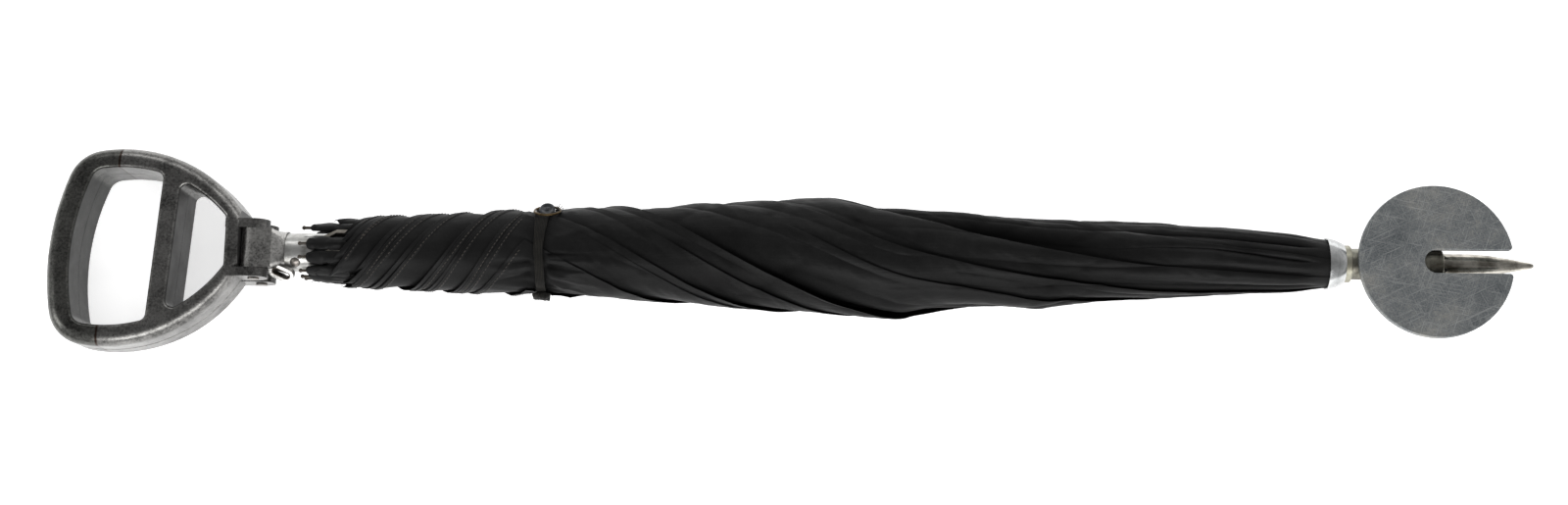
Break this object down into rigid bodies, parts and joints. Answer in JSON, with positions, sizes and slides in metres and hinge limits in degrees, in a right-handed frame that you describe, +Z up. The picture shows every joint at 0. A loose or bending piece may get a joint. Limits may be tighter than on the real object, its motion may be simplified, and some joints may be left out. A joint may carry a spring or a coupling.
{
  "type": "umbrella seat stick",
  "caption": "Wound black umbrella with a folding cast seat handle, tie strap, slotted folding ground disc and plated ground spike, lying closed on its side.",
  "frame": {"origin": "middle of the closed part's bounding box, on the floor it lies on", "axes": "+X along the shaft, from the seat handle to the ground spike; +Z up, away from the floor; +Y across the shaft, so that the strap's button faces it"},
  "size_m": [0.9154, 0.1242, 0.0523],
  "materials": {
    "cast_aluminium": "cast, worn dark, with polished edges",
    "bow_aluminium": "cast, worn dark, with polished edges",
    "rivet_steel": "worn",
    "nickel": "plated, glossy",
    "tube_aluminium": "satin",
    "spring_steel": "satin",
    "ferrule_aluminium": "satin, tarnished",
    "disc_metal": "matte, scratched",
    "black_fittings": "black lacquer",
    "black_cloth": "matte, worn, dusty",
    "bright_aluminium": "bright",
    "strap_cloth": "matte",
    "button": "glossy",
    "brass": "tarnished",
    "rib_steel": "plated, worn"
  },
  "bodies": {
    "shaft": {"hinge_pin_upper": "rivet_steel", "hinge_pin_lower": "rivet_steel", "head_rivet": "rivet_steel", "plug_pin": "rivet_steel", "head_casting": "cast_aluminium", "eye_liner": "nickel", "shaft_tube": "tube_aluminium", "runner_catch": "spring_steel", "crown_catch": "spring_steel", "end_plug": "ferrule_aluminium", "ferrule_ring": "ferrule_aluminium", "spike": "nickel", "disc_pivot_pin": "rivet_steel", "disc_washers": "rivet_steel", "crown_notch": "black_fittings", "crown_wire": "spring_steel", "runner": "black_fittings", "runner_wire": "spring_steel", "canopy": "black_cloth", "canopy_collar": "bright_aluminium", "tie_strap": "strap_cloth", "strap_button": "button", "strap_ring": "brass", "strap_keeper": "strap_cloth", "rib_1": "rib_steel", "rib_tip_1": "nickel", "stretcher_1": "rib_steel", "rib_2": "rib_steel", "rib_tip_2": "nickel", "stretcher_2": "rib_steel", "rib_3": "rib_steel", "rib_tip_3": "nickel", "stretcher_3": "rib_steel", "rib_4": "rib_steel", "rib_tip_4": "nickel", "stretcher_4": "rib_steel", "rib_5": "rib_steel", "rib_tip_5": "nickel", "stretcher_5": "rib_steel", "rib_6": "rib_steel", "rib_tip_6": "nickel", "stretcher_6": "rib_steel", "rib_7": "rib_steel", "rib_tip_7": "nickel", "stretcher_7": "rib_steel", "rib_8": "rib_steel", "rib_tip_8": "nickel", "stretcher_8": "rib_steel"},
    "seat_upper": {"seat_frame_upper": "cast_aluminium", "grip_bow_upper": "bow_aluminium"},
    "seat_lower": {"seat_frame_lower": "cast_aluminium", "grip_bow_lower": "bow_aluminium"},
    "ground_disc": {"ground_disc": "disc_metal"}
  },
  "joints": [
    {"name": "seat_upper_hinge", "type": "hinge", "parent": "shaft", "child": "seat_upper", "pos_m": [-0.3303, 0, 0.0305], "axis": [0, 1, 0], "range_deg": [0, 90]},
    {"name": "seat_lower_hinge", "type": "hinge", "parent": "shaft", "child": "seat_lower", "pos_m": [-0.3303, 0, 0.0095], "axis": [0, -1, 0], "range_deg": [0, 90]},
    {"name": "ground_disc_pivot", "type": "hinge", "parent": "shaft", "child": "ground_disc", "pos_m": [0.3955, 0, 0.02], "axis": [0, 1, 0], "range_deg": [0, 90]}
  ]
}
